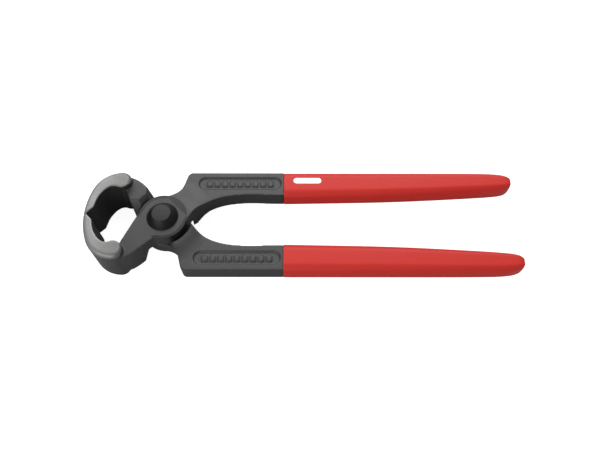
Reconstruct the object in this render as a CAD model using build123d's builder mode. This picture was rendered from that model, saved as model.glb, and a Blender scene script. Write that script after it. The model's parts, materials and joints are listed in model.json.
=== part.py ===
from build123d import *
import os
from math import cos, radians, sin

os.makedirs("parts", exist_ok=True)

# End-cutting pincers: two forged steel arms lapped at half thickness, a rivet, and two dipped grips.
# Millimetres. The tool lies on its side: +X to the handle ends, +Y to the upper handle, +Z along the
# pivot axis. The origin is on the pivot axis, in the plane on which the jaw sides and rivet head rest.

# Driving dimensions
jaw_width = 25.0            # across the jaw sides, and over both rivet heads
jaw_tip_x = -40.1           # outer side of the cutting edge
joint_half = 8.2            # thickness of each lapped half
disc_r = 12.5               # joint disc
lap_r = 14.5                # clearance for the other arm's disc
shank_half = 5.1            # half thickness of a handle shank
shank_outer = 28.5          # outer edge of a shank, from the centre line
shank_inner = 14.6          # inner edge of a shank, from the centre line
grip_start = 62.8           # mouth of the dipped grip
grip_end = 186.4            # nose of the dipped grip
grip_outer = 29.3           # edges of the dipped grip at its mouth, from the centre line
grip_inner = 14.0
grip_half = 6.2             # half thickness of the dipped grip
grip_round = 3.3
lip_round = 0.6
nose_r = 3.45
waist_r = 1500.0            # slow bend of a handle's inner edge
coat = 1.3                  # wall of the dipped grip along its edges
tang_half = 4.6             # half thickness of the tang inside the grip
rivet_r = 5.0
rivet_base_r = 8.0
rivet_top_r = 4.8
run_gap = 0.05              # running clearance of the moving arm
reach = 80.0                # past every side of an arm
mid = jaw_width / 2         # height of the lap plane

# Jaw shape
lobe_centre = (-22.6, -20.2)
lobe_r = 4.8
edge_land = 1.5             # thickness of the cutting edge
tip_gap = 0.05              # each tip stops short of the centre plane by this
jaw_round = 2.4             # rounding of the corners of the jaw's back
root_chamfer = 2.4          # chamfer of a jaw root's face round the other arm's disc
root_slope_y = -9.8         # from here the same face slopes down to the inside of the jaw
root_slope_run = 6.0
root_slope_reach = 27.0
root_heel_x = -10.0         # past here the same face slopes down to the outside of the jaw
root_heel_run = 3.0

# The jaw's back is two arcs: a long flank from the tip, then a tighter back that ends level at the lobe.
flank_turn = 22.0
turn_cos = cos(radians(flank_turn))
turn_sin = sin(radians(flank_turn))
back_run = lobe_centre[0] - jaw_tip_x
back_drop = lobe_r - lobe_centre[1] - tip_gap
arcs = (1 - turn_cos) * (1 - turn_sin) - turn_cos * turn_sin
flank_r = (back_run * (1 - turn_sin) - back_drop * turn_cos) / arcs
back_r = (back_drop * (1 - turn_cos) - back_run * turn_sin) / arcs

# Neck shape
knee_bend_r = 9.0
knee_lean = 75.0
knee_r = 2.6
slope_start = 11.0          # the joint's thickness runs down to the shank's between these, along the neck
slope_end = 25.0
neck_angle = 45.0

# Recessed panel on each shank face, with plain raised studs on its floor
panel_start = 17.0
panel_end = 61.4
panel_y = 21.9
panel_width = 7.4
panel_depth = 0.9
stud_length = 2.6
stud_width = 3.4
stud_height = 0.55
stud_pitch = 4.1
stud_count = 9


def web_outline():
    """Root, disc, neck and shank of an arm, seen along the pivot axis."""
    with BuildSketch() as web:
        with BuildLine():
            bend = JernArc((0, disc_r), (1, 0), knee_bend_r, knee_lean)
            rise = shank_outer - (bend @ 1).Y - knee_r * (1 - cos(radians(knee_lean)))
            lean = PolarLine(bend @ 1, rise / sin(radians(knee_lean)), knee_lean)
            knee = JernArc(lean @ 1, lean % 1, knee_r, -knee_lean)
            top = Line(knee @ 1, (grip_start, shank_outer))
            mouth = Line(top @ 1, (grip_start, shank_inner))
            neck = Spline(
                mouth @ 1, (34, 14.1), (24, 11.0), (16.4, 4.9), (11.5, -4.9),
                tangents=((-1, 0), (-0.39, -0.92)),
            )
            under = Line(neck @ 1, (-3.2, -12.1))
            root = Spline(under @ 1, (-11, -18.9), (-20, -23.9), tangents=((-1, -0.75), (-1, -0.15)))
            into_lobe = Line(root @ 1, lobe_centre)
            out_of_lobe = Line(into_lobe @ 1, (-19.8, -13.0))
            inside = Line(out_of_lobe @ 1, (-11.4, 5.2))
            Line(inside @ 1, bend @ 0)
        make_face()
        Circle(disc_r)
    return web.sketch


def jaw_block_outline():
    """Back of the jaw and its lobe, closed straight across the inside."""
    with BuildSketch() as block:
        with BuildLine():
            flank = JernArc((jaw_tip_x, -tip_gap), (0, -1), flank_r, flank_turn)
            back = JernArc(flank @ 1, flank % 1, back_r, 90 - flank_turn)
            lobe = JernArc(back @ 1, back % 1, lobe_r, 90)
            Polyline(lobe @ 1, (lobe_centre[0] + lobe_r, -10), (-20, -tip_gap), flank @ 0)
        make_face()
    return block.sketch


def jaw_hollow_outline():
    """What is cut away inside the jaw: the bevelled cutting edge, the hollow and over the lobe."""
    with BuildSketch() as hollow:
        with BuildLine():
            bevel = Line((jaw_tip_x + edge_land, 0), (-35.1, -3.6))
            inner = Spline(bevel @ 1, (-33.3, -10), (-29.4, -15), (-25.4, -16.1), tangents=((0.2, -1), (1, 0.1)))
            Polyline(inner @ 1, lobe_centre, (-10, lobe_centre[1]), (-10, 0), bevel @ 0)
        make_face()
        with Locations(lobe_centre):
            Circle(lobe_r, mode=Mode.SUBTRACT)
    return hollow.sketch


def solid_jaw():
    """Jaw across its whole width, with the corners of its back rounded."""
    with BuildPart() as jaw:
        add(jaw_block_outline())
        extrude(amount=mid, both=True)
        corners = jaw.faces().filter_by(Axis.Z).edges().filter_by(lambda edge: edge.geom_type != GeomType.LINE)
        fillet(corners, jaw_round)
        add(jaw_hollow_outline())
        extrude(amount=jaw_width, both=True, mode=Mode.SUBTRACT)
    return jaw.part


def lap_cutter():
    """Room for the other arm's disc, flared where the root's face is chamfered."""
    with BuildPart() as cutter:
        with BuildSketch(Plane.XZ):
            Polygon(
                (0, run_gap / 2), (lap_r, run_gap / 2), (lap_r, -joint_half + root_chamfer),
                (lap_r + root_chamfer, -joint_half), (lap_r + root_chamfer, -jaw_width), (0, -jaw_width),
                align=None,
            )
        revolve(axis=Axis.Z)
    return cutter.part


def root_slope_cutter():
    """Slopes from a jaw root's face down to the lap plane, toward the inside and the heel of the jaw."""
    with BuildPart() as cutter:
        with BuildSketch(Plane.YZ.offset(-root_slope_reach)):
            Polygon(
                (root_slope_y, -jaw_width), (root_slope_y, -joint_half), (root_slope_y + root_slope_run, 0),
                (jaw_width, 0), (jaw_width, -jaw_width),
                align=None,
            )
        extrude(amount=root_slope_reach)
        with BuildSketch(Plane.XZ):
            Polygon(
                (root_heel_x, -jaw_width), (root_heel_x, -joint_half), (root_heel_x + root_heel_run, 0),
                (0, 0), (0, -jaw_width),
                align=None,
            )
        extrude(amount=jaw_width)
    return cutter.part


def side_outline():
    """Thickness of an arm along its neck: the joint runs down to the shank."""
    with BuildSketch() as side:
        with BuildLine() as profile:
            joint = Line((-reach, 0), (-reach, joint_half))
            flat = Line(joint @ 1, (slope_start, joint_half))
            slope = Spline(flat @ 1, (slope_end, shank_half), tangents=((1, 0), (1, 0)))
            shank = Line(slope @ 1, (2 * reach, shank_half))
            Line(shank @ 1, (2 * reach, 0))
            mirror(profile.line, about=Plane.XZ)
        make_face()
    return side.sketch


def handle_outline(inset):
    """Dipped handle, seen along the pivot axis: it narrows slowly to a rounded nose."""
    with BuildSketch() as handle:
        with BuildLine():
            edge = FilletPolyline(
                (grip_start, grip_inner + inset), (120, 15.1 + inset), (178, 18.6 + inset),
                (grip_end - inset, 20.9 + inset), (grip_end - inset, 26.6 - inset), (174, 29.1 - inset),
                (grip_start, grip_outer - inset),
                radius=[waist_r, 20, nose_r - 1.5 * inset, nose_r - 1.5 * inset, 40],
            )
            Line(edge @ 1, edge @ 0)
        make_face()
    return handle.sketch


def forged_arm():
    """One arm about its lap plane: handle up to the right, jaw down to the left, disc on the +Z side."""
    with BuildPart() as arm:
        add(web_outline())
        extrude(amount=joint_half, both=True)
        with BuildSketch(Plane.XZ.rotated((0, 0, neck_angle)).offset(-reach)):
            add(side_outline())
        extrude(amount=2 * reach, mode=Mode.INTERSECT)
        for face in (1, -1):
            floor = Plane.XY.offset(face * (shank_half - panel_depth))
            with BuildSketch(floor):
                with Locations(((panel_start + panel_end) / 2, panel_y)):
                    SlotOverall(panel_end - panel_start, panel_width)
            extrude(amount=face * joint_half, mode=Mode.SUBTRACT)
            with BuildSketch(floor):
                with Locations(((panel_start + panel_end) / 2, panel_y)):
                    with GridLocations(stud_pitch, 0, stud_count, 1):
                        RectangleRounded(stud_length, stud_width, 0.6)
            extrude(amount=face * stud_height)
        add(handle_outline(coat))
        extrude(amount=tang_half, both=True)
        add(solid_jaw())
        add(lap_cutter(), mode=Mode.SUBTRACT)
        add(root_slope_cutter(), mode=Mode.SUBTRACT)
    return arm.part


def dipped_grip():
    """Plastic coat of one handle about the lap plane, solid apart from the tang's place."""
    with BuildPart() as grip:
        add(handle_outline(0))
        extrude(amount=grip_half, both=True)
        sides = grip.faces().filter_by(Axis.Z).edges()
        fillet(sides.filter_by(lambda edge: edge.center().X > grip_start + 1), grip_round)
        fillet(grip.faces().sort_by(Axis.X)[0].edges(), lip_round)
        add(handle_outline(coat))
        extrude(amount=tang_half, both=True, mode=Mode.SUBTRACT)
    return grip.part


blank = forged_arm()
coat_blank = dipped_grip()
turned = (180, 0, 0)

# The rear arm is the same forging turned over about the tool's length.
with BuildPart() as front_arm:
    with Locations((0, 0, mid)):
        add(blank)
        Cylinder(rivet_r + run_gap, jaw_width, mode=Mode.SUBTRACT)
front_arm.part.label = "front_arm"
export_step(front_arm.part, "parts/front_arm.step")

with BuildPart() as rear_arm:
    with Locations((0, 0, mid)):
        add(blank, rotation=turned)
        Cylinder(rivet_r, jaw_width, mode=Mode.SUBTRACT)
rear_arm.part.label = "rear_arm"
export_step(rear_arm.part, "parts/rear_arm.step")

with BuildPart() as upper_grip:
    with Locations((0, 0, mid)):
        add(coat_blank)
upper_grip.part.label = "upper_grip"
export_step(upper_grip.part, "parts/upper_grip.step")

with BuildPart() as lower_grip:
    with Locations((0, 0, mid)):
        add(coat_blank, rotation=turned)
lower_grip.part.label = "lower_grip"
export_step(lower_grip.part, "parts/lower_grip.step")

# Half of the rivet in section, turned about the pivot axis. The front head stands off the moving arm.
with BuildPart() as rivet:
    with BuildSketch(Plane.XZ):
        with BuildLine():
            Polyline(
                (0, 0), (rivet_top_r, 0), (rivet_base_r, mid - joint_half), (rivet_r, mid - joint_half),
                (rivet_r, mid + joint_half + run_gap), (rivet_base_r, mid + joint_half + run_gap),
                (rivet_top_r, jaw_width), (0, jaw_width),
                close=True,
            )
        make_face()
    revolve(axis=Axis.Z)
rivet.part.label = "rivet"
export_step(rivet.part, "parts/rivet.step")
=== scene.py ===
import bpy
import json
from math import cos, radians, sin
from mathutils import Matrix, Vector

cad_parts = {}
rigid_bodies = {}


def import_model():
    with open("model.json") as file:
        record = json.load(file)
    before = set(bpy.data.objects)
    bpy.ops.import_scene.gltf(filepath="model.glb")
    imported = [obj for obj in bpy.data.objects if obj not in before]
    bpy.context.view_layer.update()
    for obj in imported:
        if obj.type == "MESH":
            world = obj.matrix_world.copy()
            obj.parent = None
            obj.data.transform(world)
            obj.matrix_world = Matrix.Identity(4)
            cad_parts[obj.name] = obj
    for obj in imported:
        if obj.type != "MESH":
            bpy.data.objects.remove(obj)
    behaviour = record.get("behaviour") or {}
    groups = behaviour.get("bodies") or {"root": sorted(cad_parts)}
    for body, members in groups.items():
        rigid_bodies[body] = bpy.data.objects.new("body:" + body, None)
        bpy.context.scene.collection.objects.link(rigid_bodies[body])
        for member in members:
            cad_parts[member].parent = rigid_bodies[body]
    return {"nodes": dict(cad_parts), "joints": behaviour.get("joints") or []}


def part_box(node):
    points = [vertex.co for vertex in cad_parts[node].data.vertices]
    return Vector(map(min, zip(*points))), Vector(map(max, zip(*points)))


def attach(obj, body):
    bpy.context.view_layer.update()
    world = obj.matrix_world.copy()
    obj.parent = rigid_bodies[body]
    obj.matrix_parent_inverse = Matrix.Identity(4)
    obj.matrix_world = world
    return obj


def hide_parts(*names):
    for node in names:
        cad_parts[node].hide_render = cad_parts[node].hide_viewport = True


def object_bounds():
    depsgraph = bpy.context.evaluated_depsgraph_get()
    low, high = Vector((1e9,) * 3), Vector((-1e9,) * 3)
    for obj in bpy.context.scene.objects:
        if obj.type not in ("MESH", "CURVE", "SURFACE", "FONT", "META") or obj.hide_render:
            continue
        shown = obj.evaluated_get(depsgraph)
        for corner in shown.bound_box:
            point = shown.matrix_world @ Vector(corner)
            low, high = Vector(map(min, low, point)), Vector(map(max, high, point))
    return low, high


# End-cutting pincers: two blackened forged arms with ground jaw sides, a rivet, two dipped grips and a
# plain printed bar.
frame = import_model()
cad_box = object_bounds()
nodes = frame["nodes"]

# ---------------------------------------------------------------- places and sizes, in metres
MM = 0.001
LOW, HIGH = cad_box
pivot = frame["joints"][0]
MID = pivot["pos_m"][2]                         # height of the lap plane
REAR_BODY, FRONT_BODY = pivot["parent"], pivot["child"]
grip_low, grip_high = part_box("upper_grip")
rivet_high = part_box("rivet")[1]
FACING = 0.9                                    # a normal with more than this along an axis faces that way

STEEL_VOXEL = 0.4 * MM                          # fineness of the forgings' skin
STEEL_SOFTENING = 5                             # smoothing rounds that soften a forging's corners
NECK_SLANT = radians(45)                        # direction of an arm's neck from the pivot
NECK_START, NECK_END = 9.5 * MM, 25 * MM        # the neck's sloping faces, along the neck from the pivot
NECK_SOFTENING = 300                            # smoothing rounds on those faces

JOINT_HALF = 8.2 * MM                           # from the lap plane to the joint's front or back face
RIVET_SHANK_R = 5.0                             # in millimetres, as are the radii in the next table
# A rivet's head from its underside to its flat top: radius, and share of the head's height.
RIVET_HEAD = ((8.0, 0), (7.76, 0.12), (6.4408, 0.57), (4.8, 1))
RIVET_EDGE = 0.35 * MM                          # rounding of the rivet's edges

GRIP_SLAB = 1.2 * MM                            # the grip's first slice, at its mouth
GRIP_ROUND = 4.8 * MM                           # rounding of a grip's section at its mouth
GRIP_MOUTH_INSET = 0.6 * MM                     # keeps the mouth's edge crisp when the grip is subdivided
# A grip from mouth to nose, in millimetres: place along the tool, inner and outer edge, half thickness.
GRIP_STATIONS = (
    (62.8, 13.3, 29.6, 6.2), (90, 13.8, 29.6, 6.2), (115, 14.3, 29.6, 6.2), (135, 15.2, 29.6, 6.2),
    (155, 16.4, 29.55, 6.2), (170, 17.4, 29.4, 6.2), (176, 17.95, 29.15, 6.2), (180, 18.4, 28.7, 6.15),
    (183, 19.0, 28.05, 6.05), (185, 20.0, 27.1, 5.6), (186, 21.1, 26.1, 4.9), (186.38, 22.3, 25.0, 3.6),
    (186.4, 23.3, 24.1, 1.5),
)

PRINT_LENGTH, PRINT_HEIGHT = 15.0 * MM, 3.4 * MM
PRINT_SKIN = 0.05 * MM                          # how far the printed bar stands out
PRINT_FROM_MOUTH, PRINT_OFF_AXIS = 12.7 * MM, 23.0 * MM

GROUND_EDGE = HIGH.z - MID - 2.6 * MM           # the ground finish reaches this far down a jaw's rounding
GROUND_WANDER = 0.5 * MM                        # how much that edge strays
GROUND_FADE = 0.1 * MM                          # half the width over which the finish ends
PAINTED_REFLECTION_START_X, PAINTED_REFLECTION_FULL_X = -20 * MM, -39 * MM   # painted reflection: the ground finish's colour brightens from here to here


# ---------------------------------------------------------------- small tools
def clear_selection():
    bpy.ops.object.select_all(action="DESELECT")


def make_active(piece):
    clear_selection()
    piece.select_set(True)
    bpy.context.view_layer.objects.active = piece


def apply_modifier(piece, kind, **settings):
    modifier = piece.modifiers.new(kind.lower(), kind)
    for name, value in settings.items():
        setattr(modifier, name, value)
    make_active(piece)
    bpy.ops.object.modifier_apply(modifier=modifier.name)


def apply_place(piece):
    make_active(piece)
    bpy.ops.object.transform_apply(location=True, rotation=True, scale=True)


def leave_edit():
    bpy.ops.object.mode_set(mode="OBJECT")


def pick(piece, kind, test):
    """Selects the active piece's points, edges or faces that pass the test, and stays in edit mode."""
    bpy.ops.object.mode_set(mode="EDIT")
    bpy.ops.mesh.select_mode(type=kind)
    bpy.ops.mesh.select_all(action="DESELECT")
    bpy.ops.object.mode_set(mode="OBJECT")
    mesh = piece.data
    if kind == "EDGE":
        for edge in mesh.edges:
            edge.select = test(*(mesh.vertices[index].co for index in edge.vertices))
    else:
        for element in mesh.polygons if kind == "FACE" else mesh.vertices:
            element.select = test(element)
    bpy.ops.object.mode_set(mode="EDIT")


def smooth_by_angle(piece, angle):
    make_active(piece)
    bpy.ops.object.shade_smooth_by_angle(angle=radians(angle))


def finish_piece(piece, name, body, material, slot, *replaced):
    piece.name = name
    piece.data.name = name
    piece.data.materials.clear()
    piece.data.materials.append(material)
    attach(piece, body)
    if replaced:
        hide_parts(*replaced)


# ---------------------------------------------------------------- shader nodes and the grain group
def feed(tree, value, socket):
    """Links another node's output to a socket, or sets the socket to a plain value."""
    if isinstance(value, bpy.types.NodeSocket):
        tree.links.new(value, socket)
    else:
        socket.default_value = value


def math_node(tree, operation, first, second=0.0):
    node = tree.nodes.new("ShaderNodeMath")
    node.operation = operation
    feed(tree, first, node.inputs[0])
    feed(tree, second, node.inputs[1])
    return node.outputs[0]


def noise_node(tree, coordinates, scale, detail=3.0, roughness=0.5):
    node = tree.nodes.new("ShaderNodeTexNoise")
    node.inputs["Detail"].default_value = detail
    node.inputs["Roughness"].default_value = roughness
    tree.links.new(coordinates, node.inputs["Vector"])
    feed(tree, scale, node.inputs["Scale"])
    return node.outputs["Fac"]


def range_node(tree, value, low, high, to_low=0.0, to_high=1.0):
    node = tree.nodes.new("ShaderNodeMapRange")
    tree.links.new(value, node.inputs["Value"])
    for name, number in (("From Min", low), ("From Max", high), ("To Min", to_low), ("To Max", to_high)):
        node.inputs[name].default_value = number
    return node.outputs["Result"]


def mix_colour(tree, share, first, second):
    node = tree.nodes.new("ShaderNodeMix")
    node.data_type = "RGBA"
    sockets = {socket.name: socket for socket in node.inputs if socket.enabled}
    feed(tree, share, sockets["Factor"])
    for name, colour in (("A", first), ("B", second)):
        feed(tree, colour if isinstance(colour, bpy.types.NodeSocket) else (*colour, 1), sockets[name])
    return next(socket for socket in node.outputs if socket.enabled)


def bump_node(tree, height, strength, distance):
    node = tree.nodes.new("ShaderNodeBump")
    node.inputs["Strength"].default_value = strength
    node.inputs["Distance"].default_value = distance
    tree.links.new(height, node.inputs["Height"])
    return node.outputs["Normal"]


def split_node(tree, vector):
    node = tree.nodes.new("ShaderNodeSeparateXYZ")
    tree.links.new(vector, node.inputs[0])
    return node.outputs


def facing_node(tree):
    """How squarely the surface faces the front or the back of the tool, 0 to 1."""
    normal = tree.nodes.new("ShaderNodeNewGeometry").outputs["Normal"]
    return math_node(tree, "ABSOLUTE", split_node(tree, normal)["Z"])


def new_socket(tree, name, way, value=0.0):
    tree.interface.new_socket(name=name, in_out=way, socket_type="NodeSocketFloat").default_value = value


def grain_group():
    """Fine grain with broad clouding: one height for bump, and one spread for colour and roughness."""
    tree = bpy.data.node_groups.new("surface_grain", "ShaderNodeTree")
    new_socket(tree, "Grain per metre", "INPUT", 1500.0)
    new_socket(tree, "Clouds per metre", "INPUT", 60.0)
    new_socket(tree, "Height", "OUTPUT")
    new_socket(tree, "Spread", "OUTPUT")
    given = tree.nodes.new("NodeGroupInput")
    made = tree.nodes.new("NodeGroupOutput")
    place = tree.nodes.new("ShaderNodeTexCoord").outputs["Object"]
    fine = noise_node(tree, place, given.outputs["Grain per metre"], detail=4.0, roughness=0.6)
    clouds = noise_node(tree, place, given.outputs["Clouds per metre"], detail=3.0, roughness=0.55)
    half_fine = math_node(tree, "MULTIPLY", fine, 0.5)
    half_clouds = math_node(tree, "MULTIPLY", clouds, 0.5)
    tree.links.new(fine, made.inputs["Height"])
    tree.links.new(math_node(tree, "ADD", half_fine, half_clouds), made.inputs["Spread"])
    return tree


GRAIN = grain_group()


def grain_node(tree, grain, clouds):
    node = tree.nodes.new("ShaderNodeGroup")
    node.node_tree = GRAIN
    node.inputs["Grain per metre"].default_value = grain
    node.inputs["Clouds per metre"].default_value = clouds
    return node.outputs["Height"], node.outputs["Spread"]


def rough_by_grain(tree, spread, smoothest, dullest):
    """Roughness that follows the grain's spread between 0.3 and 0.7."""
    return range_node(tree, spread, 0.3, 0.7, smoothest, dullest)


# ---------------------------------------------------------------- materials
def new_material(name):
    material = bpy.data.materials.new(name)
    material.use_nodes = True
    tree = material.node_tree
    return material, tree, tree.nodes["Principled BSDF"]


def ground_mask(tree, place):
    """1 on the ground sides of the jaws and down their outer rounding, 0 on the forged skin."""
    off_middle = math_node(tree, "ABSOLUTE", math_node(tree, "SUBTRACT", split_node(tree, place)["Z"], MID))
    stray = math_node(tree, "SUBTRACT", noise_node(tree, place, scale=400.0), 0.5)
    strayed = math_node(tree, "ADD", off_middle, math_node(tree, "MULTIPLY", stray, GROUND_WANDER))
    high = range_node(tree, strayed, GROUND_EDGE - GROUND_FADE, GROUND_EDGE + GROUND_FADE)
    level = range_node(tree, facing_node(tree), low=0.02, high=0.12)
    return math_node(tree, "MULTIPLY", high, level)


def forged_steel():
    """Blackened skin, and bright bare metal where the jaws are ground, with a painted reflection that
    brightens that metal toward the jaw tips.
    """
    material, tree, shader = new_material("blackened_forged_steel")
    height, spread = grain_node(tree, grain=1300.0, clouds=90.0)
    place = tree.nodes.new("ShaderNodeTexCoord").outputs["Object"]
    ground = ground_mask(tree, place)
    black = mix_colour(tree, spread, (0.009, 0.009, 0.0095), (0.022, 0.022, 0.0225))
    # Painted reflection: the ground metal's colour brightens along the tool toward the jaw tips, then grain
    # mottles it.
    painted_reflection_toward_tip = range_node(tree, split_node(tree, place)["X"], PAINTED_REFLECTION_START_X, PAINTED_REFLECTION_FULL_X)
    ground_with_painted_reflection = mix_colour(tree, painted_reflection_toward_tip, (0.18, 0.18, 0.178), (0.31, 0.31, 0.306))
    mottled_with_painted_reflection = mix_colour(tree, math_node(tree, "MULTIPLY", spread, 0.55), ground_with_painted_reflection, (0.10, 0.10, 0.10))
    tree.links.new(mix_colour(tree, ground, black, mottled_with_painted_reflection), shader.inputs["Base Color"])
    tree.links.new(ground, shader.inputs["Metallic"])
    skin = rough_by_grain(tree, spread, smoothest=0.42, dullest=0.54)
    ground_roughness = math_node(tree, "MULTIPLY", ground, 0.08)
    tree.links.new(math_node(tree, "ADD", skin, ground_roughness), shader.inputs["Roughness"])
    tree.links.new(bump_node(tree, height, strength=0.5, distance=0.06 * MM), shader.inputs["Normal"])
    return material


def rivet_steel():
    """Darker blackened steel, with painted shade: the cone sides of the rivet's heads are coloured near
    black, the flat tops keep a lighter grained colour.
    """
    material, tree, shader = new_material("blackened_rivet_steel")
    height, spread = grain_node(tree, grain=1700.0, clouds=160.0)
    # Painted shade: surfaces that do not face the front or back, such as the heads' cone sides, get a
    # near-black colour.
    tops_free_of_painted_shade = range_node(tree, facing_node(tree), low=0.80, high=0.97)
    grained_top_colour = mix_colour(tree, spread, (0.012, 0.012, 0.013), (0.030, 0.030, 0.032))
    tree.links.new(mix_colour(tree, tops_free_of_painted_shade, (0.004, 0.0035, 0.004), grained_top_colour), shader.inputs["Base Color"])
    shader.inputs["Specular IOR Level"].default_value = 0.2
    tree.links.new(rough_by_grain(tree, spread, smoothest=0.40, dullest=0.5), shader.inputs["Roughness"])
    tree.links.new(bump_node(tree, height, strength=0.3, distance=0.05 * MM), shader.inputs["Normal"])
    return material


def dipped_red():
    material, tree, shader = new_material("dipped_red_plastic")
    height, spread = grain_node(tree, grain=700.0, clouds=35.0)
    red = mix_colour(tree, spread, (0.40, 0.013, 0.009), (0.48, 0.020, 0.013))
    tree.links.new(red, shader.inputs["Base Color"])
    tree.links.new(rough_by_grain(tree, spread, smoothest=0.42, dullest=0.54), shader.inputs["Roughness"])
    shader.inputs["Specular IOR Level"].default_value = 0.25
    tree.links.new(bump_node(tree, height, strength=0.12, distance=0.05 * MM), shader.inputs["Normal"])
    return material


def printed_white():
    material, tree, shader = new_material("printed_white_ink")
    spread = grain_node(tree, grain=2200.0, clouds=200.0)[1]
    white = mix_colour(tree, spread, (0.78, 0.76, 0.75), (0.90, 0.89, 0.88))
    tree.links.new(white, shader.inputs["Base Color"])
    tree.links.new(rough_by_grain(tree, spread, smoothest=0.5, dullest=0.6), shader.inputs["Roughness"])
    return material


STEEL = forged_steel()
RIVET = rivet_steel()
RED = dipped_red()
INK = printed_white()


# ---------------------------------------------------------------- pieces
def neck_run(place, side):
    """How far along an arm's slanting neck a point lies."""
    return (place.x + side * place.y) * cos(NECK_SLANT)


def make_forging(node_name, body, side):
    """A copy of the CAD arm with every corner softened, as on a forging tumbled before blackening."""
    source = nodes[node_name]
    piece = source.copy()
    piece.data = source.data.copy()
    piece.parent = None
    bpy.context.scene.collection.objects.link(piece)
    make_active(piece)
    bpy.ops.object.mode_set(mode="EDIT")
    bpy.ops.mesh.select_all(action="SELECT")
    bpy.ops.mesh.remove_doubles(threshold=0.001 * MM)
    leave_edit()
    apply_modifier(piece, "REMESH", mode="VOXEL", voxel_size=STEEL_VOXEL)
    apply_modifier(piece, "SMOOTH", factor=0.5, iterations=STEEL_SOFTENING)
    pick(
        piece, "VERT",
        lambda point: abs(point.normal.z) > FACING and NECK_START < neck_run(point.co, side) < NECK_END,
    )
    piece.vertex_groups.new(name="neck_faces")
    bpy.ops.object.vertex_group_assign()
    leave_edit()
    apply_modifier(piece, "SMOOTH", factor=0.5, iterations=NECK_SOFTENING, vertex_group="neck_faces")
    piece.vertex_groups.clear()
    smooth_by_angle(piece, 60)
    finish_piece(piece, node_name + "_forging", body, STEEL, "forged_steel", node_name)


def make_rivet():
    """Shank of the rivet, drawn out at both ends into a cone with a flat top.

    Known fault: on the second pass the underside of the front head passes the test as well. It is drawn
    out with the rear head, as a flare inside the front arm that is wider than the rivet should be.
    """
    clear_selection()
    head = rivet_high.z - (MID + JOINT_HALF)
    bpy.ops.mesh.primitive_cylinder_add(
        vertices=72, radius=RIVET_SHANK_R * MM, depth=2 * JOINT_HALF, location=(0, 0, MID),
        end_fill_type="NGON",
    )
    piece = bpy.context.object
    apply_place(piece)
    for side in (1, -1):
        pick(piece, "FACE", lambda face: face.normal.z * side > FACING)
        radius, height = RIVET_SHANK_R, 0
        for new_radius, new_height in RIVET_HEAD:
            rise = side * (new_height - height) * head
            widen = new_radius / radius
            bpy.ops.mesh.extrude_region_move(TRANSFORM_OT_translate={"value": (0, 0, rise)})
            bpy.ops.transform.resize(value=(widen, widen, 1), center_override=(0, 0, MID))
            radius, height = new_radius, new_height
    bpy.ops.mesh.select_all(action="SELECT")
    bpy.ops.mesh.normals_make_consistent(inside=False)
    leave_edit()
    apply_modifier(
        piece, "BEVEL", width=RIVET_EDGE, segments=3, limit_method="ANGLE", angle_limit=radians(25),
    )
    smooth_by_angle(piece, 50)
    finish_piece(piece, "rivet_headed", REAR_BODY, RIVET, "rivet_steel", "rivet")


def make_grip(name, body, side, replaced):
    """A dipped grip, solid, drawn out from its mouth to its nose with a well rounded section."""
    clear_selection()
    x, low, high, half = GRIP_STATIONS[0]
    centre = Vector((x * MM + GRIP_SLAB / 2, side * (low + high) / 2 * MM, MID))
    bpy.ops.mesh.primitive_cube_add(size=1, location=centre)
    piece = bpy.context.object
    piece.scale = (GRIP_SLAB, (high - low) * MM, 2 * half * MM)
    apply_place(piece)
    pick(piece, "EDGE", lambda first, second: abs(first.x - second.x) > GRIP_SLAB / 2)
    bpy.ops.mesh.bevel(offset=GRIP_ROUND, segments=9, affect="EDGES")
    pick(piece, "FACE", lambda face: face.normal.x > FACING)
    x += GRIP_SLAB / MM
    for station in GRIP_STATIONS[1:]:
        step_x, new_low, new_high, new_half = station
        shift = side * ((new_low + new_high) - (low + high)) / 2
        bpy.ops.mesh.extrude_region_move(
            TRANSFORM_OT_translate={"value": ((step_x - x) * MM, shift * MM, 0)},
        )
        bpy.ops.transform.resize(
            value=(1, (new_high - new_low) / (high - low), new_half / half),
            center_override=(step_x * MM, side * (new_low + new_high) / 2 * MM, MID),
        )
        x, low, high, half = station
    bpy.ops.mesh.merge(type="CENTER")
    pick(piece, "FACE", lambda face: face.normal.x < -FACING)
    bpy.ops.mesh.inset(thickness=GRIP_MOUTH_INSET, depth=0)
    bpy.ops.mesh.select_all(action="SELECT")
    bpy.ops.mesh.normals_make_consistent(inside=False)
    leave_edit()
    apply_modifier(piece, "SUBSURF", levels=2, render_levels=2)
    smooth_by_angle(piece, 60)
    finish_piece(piece, name, body, RED, "dipped_plastic", replaced)


def make_print():
    """Plain white bar printed on the upper grip, with rounded ends."""
    clear_selection()
    top = MID + (grip_high.z - grip_low.z) / 2
    centre = Vector((grip_low.x + PRINT_FROM_MOUTH, PRINT_OFF_AXIS, top))
    bpy.ops.mesh.primitive_cube_add(size=1, location=centre)
    piece = bpy.context.object
    piece.scale = (PRINT_LENGTH, PRINT_HEIGHT, 2 * PRINT_SKIN)
    apply_place(piece)
    pick(piece, "EDGE", lambda first, second: abs(first.z - second.z) > PRINT_SKIN)
    almost_half = 0.499                         # the two roundings at an end stay just apart
    bpy.ops.mesh.bevel(offset=PRINT_HEIGHT * almost_half, segments=10, affect="EDGES")
    leave_edit()
    smooth_by_angle(piece, 40)
    finish_piece(piece, "grip_print_bar", FRONT_BODY, INK, "dipped_plastic")


make_forging("front_arm", FRONT_BODY, 1)
make_forging("rear_arm", REAR_BODY, -1)
make_grip("upper_dipped_grip", FRONT_BODY, 1, "upper_grip")
make_grip("lower_dipped_grip", REAR_BODY, -1, "lower_grip")
make_rivet()
make_print()


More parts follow.
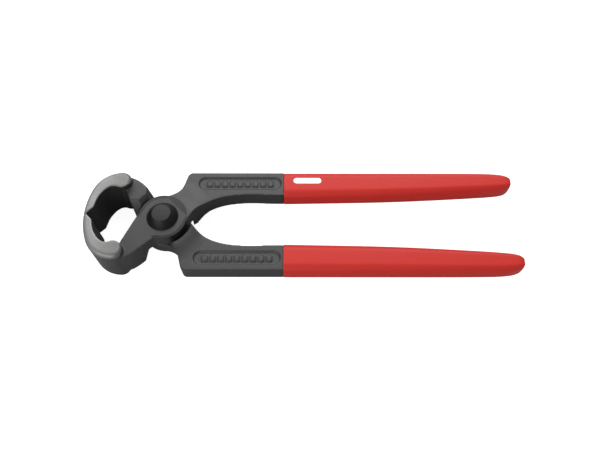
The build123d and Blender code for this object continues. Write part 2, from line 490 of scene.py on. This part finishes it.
# ---------------------------------------------------------------- camera, lights and floor
def add_camera():
    data = bpy.data.cameras.new("camera")
    data.sensor_width = 36.0
    data.lens = 36.57
    camera = bpy.data.objects.new("camera", data)
    bpy.context.scene.collection.objects.link(camera)
    tilt, turn, roll, distance = radians(26.65), radians(-0.46), radians(-0.15), 0.3240
    target = Vector((71.48 * MM, -0.65 * MM, MID))
    back = Vector((sin(turn) * cos(tilt), -sin(tilt), cos(turn) * cos(tilt)))
    up = Vector((0, 1, 0))
    up = (up - back * up.dot(back)).normalized()
    aim = Matrix((up.cross(back), up, back)).transposed().to_4x4()
    camera.matrix_world = Matrix.Translation(target + back * distance) @ aim @ Matrix.Rotation(roll, 4, "Z")
    bpy.context.scene.camera = camera


def add_softbox(name, place, target, size, power):
    data = bpy.data.lights.new(name, "AREA")
    data.shape = "RECTANGLE"
    data.size, data.size_y = size
    data.energy = power
    lamp = bpy.data.objects.new(name, data)
    bpy.context.scene.collection.objects.link(lamp)
    lamp.location = place
    lamp.rotation_euler = (Vector(place) - Vector(target)).to_track_quat("Z", "Y").to_euler()


def show_to_eye(tree, lighting, shown, output):
    """Gives the eye one shader, and lights the tool with the other."""
    mix = tree.nodes.new("ShaderNodeMixShader")
    tree.links.new(tree.nodes.new("ShaderNodeLightPath").outputs["Is Camera Ray"], mix.inputs["Fac"])
    tree.links.new(lighting.outputs[0], mix.inputs[1])
    tree.links.new(shown.outputs[0], mix.inputs[2])
    tree.links.new(mix.outputs[0], tree.nodes[output].inputs["Surface"])


def add_floor():
    """Pale floor: white to the eye, and greyer in what it throws back on the tool."""
    clear_selection()
    bpy.ops.mesh.primitive_plane_add(size=8, location=(0, 0, LOW.z))
    floor = bpy.context.object
    floor.name = "floor"
    material, tree, shader = new_material("pale_floor")
    shader.inputs["Base Color"].default_value = (0.45, 0.45, 0.45, 1)
    shader.inputs["Roughness"].default_value = 1.0
    shader.inputs["Specular IOR Level"].default_value = 0.0
    glow = tree.nodes.new("ShaderNodeEmission")
    glow.inputs["Strength"].default_value = 0.90
    both = tree.nodes.new("ShaderNodeAddShader")
    tree.links.new(shader.outputs[0], both.inputs[0])
    tree.links.new(glow.outputs[0], both.inputs[1])
    show_to_eye(tree, shader, both, "Material Output")
    floor.data.materials.append(material)


def add_world():
    """White backdrop to the eye, and a low even fill on the tool."""
    world = bpy.data.worlds.new("studio")
    bpy.context.scene.world = world
    world.use_nodes = True
    tree = world.node_tree
    fill = tree.nodes["Background"]
    white = tree.nodes.new("ShaderNodeBackground")
    for background, strength in ((fill, 0.56), (white, 1.0)):
        background.inputs["Color"].default_value = (1, 1, 1, 1)
        background.inputs["Strength"].default_value = strength
    show_to_eye(tree, fill, white, "World Output")


clear_selection()
add_camera()
add_floor()
add_world()
# Softboxes: name, place, target and size in metres, and power in watts.
for name, place, target, size, power in (
    ("low_softbox", (-0.28, -0.48, 0.32), (0.03, 0, 0.01), (0.7, 0.35), 2.6),
    ("front_softbox", (0.07, 0.30, 0.60), (0.07, 0, 0), (0.5, 0.3), 1.3),
    ("key_softbox", (0.02, 0.52, 0.42), (0.07, 0, 0), (1.1, 0.35), 4.2),
):
    add_softbox(name, place, target, size, power)
bpy.context.scene.view_settings.view_transform = "Standard"
